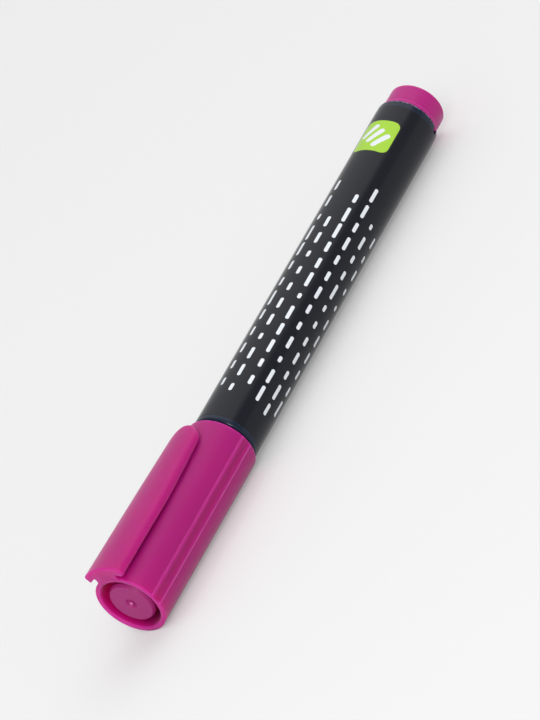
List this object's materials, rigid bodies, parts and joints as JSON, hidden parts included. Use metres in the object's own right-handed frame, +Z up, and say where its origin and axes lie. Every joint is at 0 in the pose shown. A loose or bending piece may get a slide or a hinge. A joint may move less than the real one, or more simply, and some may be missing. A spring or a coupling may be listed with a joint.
{
  "type": "permanent marker",
  "caption": "Capped bullet-nib permanent marker: magenta cap with a broad pocket clip, dark round barrel with a glossy film label, and a slim magenta end plug for posting the cap.",
  "frame": {"origin": "on the pen's axis, at the middle of the label", "axes": "+X along the pen from the cap towards the end plug, +Z up through the clip, with the pen lying on its side"},
  "size_m": [0.138, 0.0148, 0.0174],
  "materials": {
    "cap_plastic": "satin moulded plastic, solid magenta",
    "barrel_plastic": "satin moulded plastic, navy black",
    "label_film": "glossy printed film, black",
    "nib_fibre": "pressed fibre soaked with magenta ink",
    "reservoir_fibre": "bonded fibre soaked with magenta ink",
    "reservoir_film": "clear plastic film"
  },
  "bodies": {
    "pen": {"barrel": "barrel_plastic", "label_film": "label_film", "nib": "nib_fibre", "ink_reservoir": "reservoir_fibre", "reservoir_film": "reservoir_film", "end_plug": "cap_plastic"},
    "cap": {"cap_shell": "cap_plastic", "inner_cap": "cap_plastic"}
  },
  "joints": [
    {"name": "cap_pull", "type": "slide", "parent": "pen", "child": "cap", "axis": [-1, 0, 0], "range_m": [0, 0.05]}
  ]
}
